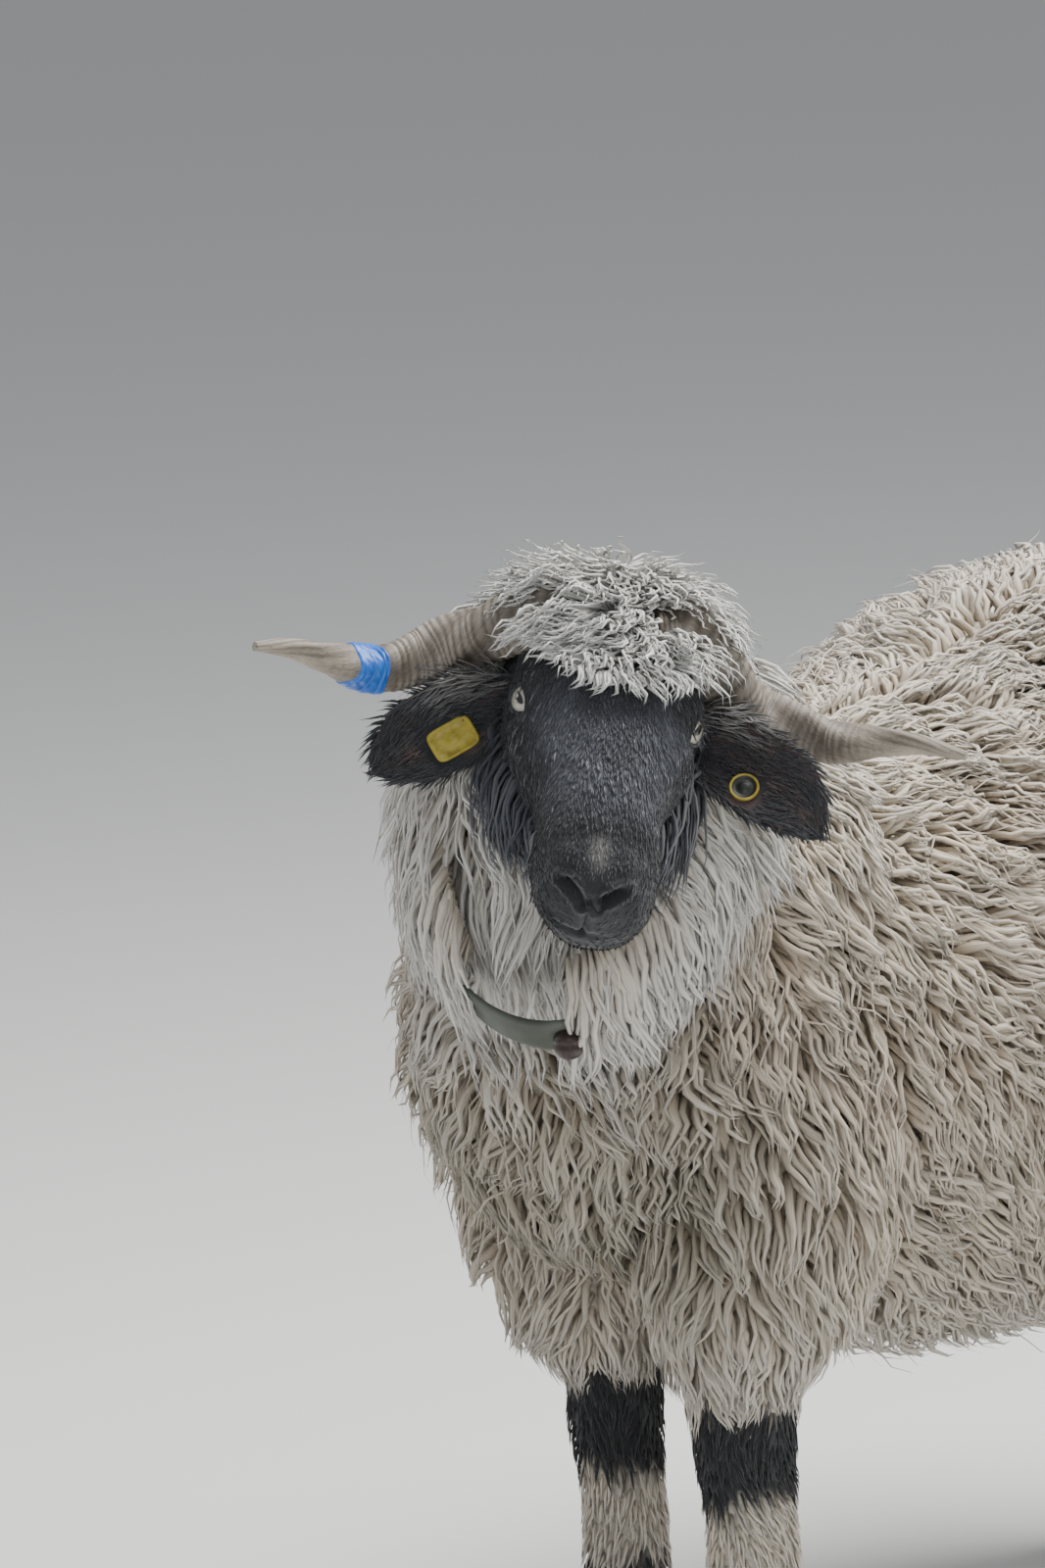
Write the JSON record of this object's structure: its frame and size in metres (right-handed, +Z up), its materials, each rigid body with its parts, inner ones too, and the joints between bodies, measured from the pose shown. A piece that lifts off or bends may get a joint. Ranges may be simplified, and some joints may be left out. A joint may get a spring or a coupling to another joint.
{
  "type": "valais blacknose sheep, standing",
  "caption": "Life-size still model of a horned black-nosed mountain sheep, standing with its head turned to its left, with collar and blank ear tags.",
  "frame": {"origin": "middle of the bounding box at floor level, under the claws' flat soles", "axes": "+Z up; the animal's body faces -Y; its left side is +X"},
  "size_m": [0.6134, 1.2986, 0.8727],
  "materials": {
    "fleece": "curly cream wool in locks",
    "white_wool": "white wool",
    "black_hair": "short blue-black hair",
    "horn": "ringed horn, satin",
    "eye": "wet pale iris with a dark pupil",
    "claw": "dark claw, satin",
    "tag_yellow": "blank plastic",
    "tape_blue": "blank adhesive tape",
    "strap": "worn flat webbing",
    "knob": "dark moulded knob"
  },
  "bodies": {
    "root": {"foreshank_left": "white_wool", "foreshank_right": "white_wool", "hindshank_left": "white_wool", "hindshank_right": "white_wool", "foreleg_left": "white_wool", "foreleg_right": "white_wool", "hindleg_left": "white_wool", "hindleg_right": "white_wool", "torso_front": "fleece", "torso_middle": "fleece", "torso_rear": "fleece", "tail": "white_wool", "neck": "white_wool", "head": "black_hair", "ear_left": "black_hair", "ear_right": "black_hair", "eye_left": "eye", "eye_right": "eye", "horn_left": "horn", "horn_right": "horn", "horn_tape": "tape_blue", "ear_tag_left": "tag_yellow", "ear_tag_right": "tag_yellow", "collar_strap": "strap", "collar_knob": "knob", "claw_fore_left_outer": "claw", "claw_fore_left_inner": "claw", "claw_fore_right_outer": "claw", "claw_fore_right_inner": "claw", "claw_hind_left_outer": "claw", "claw_hind_left_inner": "claw", "claw_hind_right_outer": "claw", "claw_hind_right_inner": "claw"}
  },
  "joints": []
}
